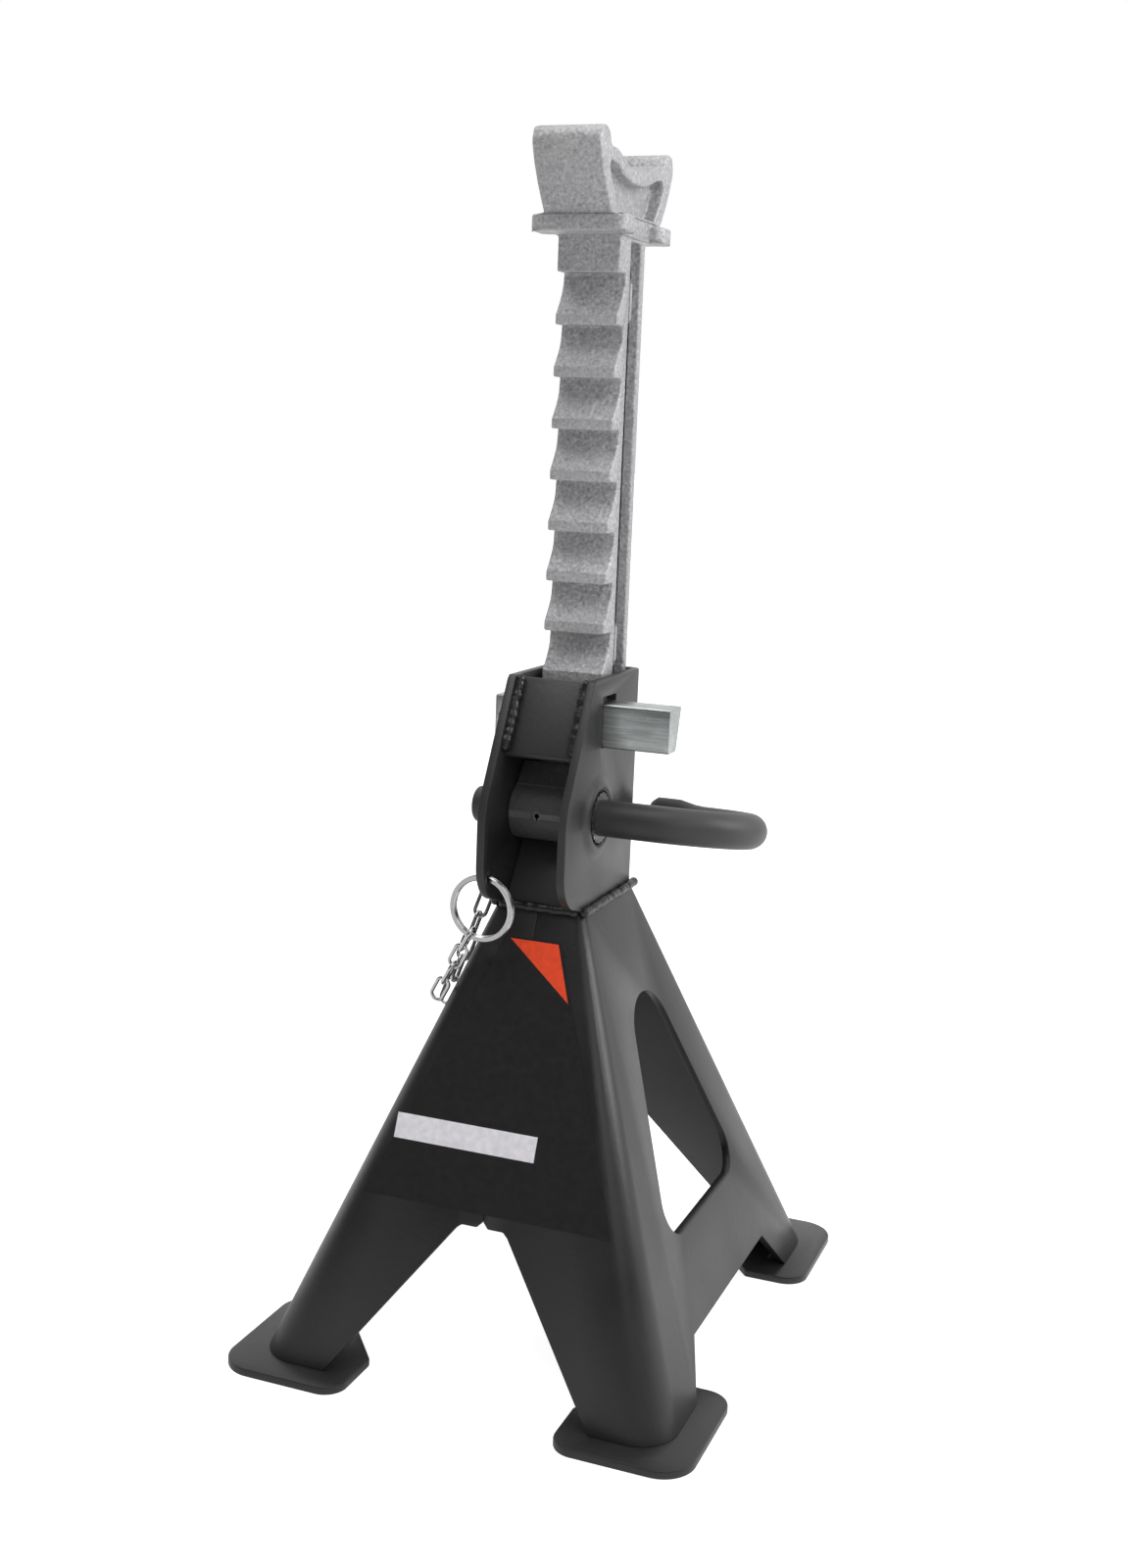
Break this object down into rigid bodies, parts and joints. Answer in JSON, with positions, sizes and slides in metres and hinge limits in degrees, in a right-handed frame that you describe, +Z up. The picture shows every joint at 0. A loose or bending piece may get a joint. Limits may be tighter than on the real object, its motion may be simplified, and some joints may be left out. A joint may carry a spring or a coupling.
{
  "type": "axle jack stand",
  "caption": "Steel axle stand: flared four-leg base, welded neck, ratchet column with a curved saddle, looped lift handle and a chained safety bar.",
  "frame": {"origin": "on the floor, in the middle of the four foot plates", "axes": "+X along the handle shaft towards the handle, -Y the front face, +Z up"},
  "size_m": [0.1684, 0.203, 0.4158],
  "materials": {
    "satin_black": "satin black powder coat over bent sheet steel",
    "weld_black": "powder-coated weld bead",
    "silver_casting": "silver paint over a sand-cast skin",
    "handle_black": "satin black paint over round bar",
    "black_casting": "black-painted rough casting",
    "dark_steel": "blackened spring steel",
    "zinc_plate": "zinc-plated, faintly streaked",
    "bright_wire": "bright plated wire",
    "label_black": "plain black printed film",
    "label_orange": "plain orange-red printed film",
    "label_white": "plain white printed film"
  },
  "bodies": {
    "stand": {"base_half_left": "satin_black", "base_half_right": "satin_black", "seam_weld_front": "weld_black", "seam_weld_back": "weld_black", "pad_front_left": "satin_black", "pad_front_right": "satin_black", "pad_back_left": "satin_black", "pad_back_right": "satin_black", "pad_welds": "weld_black", "neck_channel": "satin_black", "front_plate": "satin_black", "guide_plate": "satin_black", "plate_welds": "weld_black", "neck_welds": "weld_black", "label_panel": "label_black", "label_triangle": "label_orange", "label_strip": "label_white"},
    "column": {"ratchet_column": "silver_casting"},
    "catch": {"handle_bar": "handle_black", "pawl": "black_casting", "roll_pin": "dark_steel", "push_washers": "dark_steel"},
    "bar": {"safety_bar": "zinc_plate"},
    "bar_tether": {"bar_ring": "bright_wire", "bar_chain": "bright_wire"},
    "neck_tether": {"neck_ring": "bright_wire", "neck_chain": "bright_wire"}
  },
  "joints": [
    {"name": "column_slide", "type": "slide", "parent": "stand", "child": "column", "axis": [0, 0, 1], "range_m": [-0.1384, 0.0692]},
    {"name": "handle_lift", "type": "hinge", "parent": "stand", "child": "catch", "pos_m": [0, -0.019, 0.1893], "axis": [1, 0, 0], "range_deg": [0, 35]},
    {"name": "bar_slide", "type": "slide", "parent": "stand", "child": "bar", "axis": [1, 0, 0], "range_m": [-0.06, 0]},
    {"name": "bar_ring_swing", "type": "hinge", "parent": "bar", "child": "bar_tether", "pos_m": [-0.0201, -0.0119, 0.2212], "axis": [0, 1, 0], "range_deg": [0, 20]},
    {"name": "neck_ring_swing", "type": "hinge", "parent": "stand", "child": "neck_tether", "pos_m": [-0.0146, -0.0425, 0.1698], "axis": [1, 0, 0], "range_deg": [-12, 0]}
  ]
}
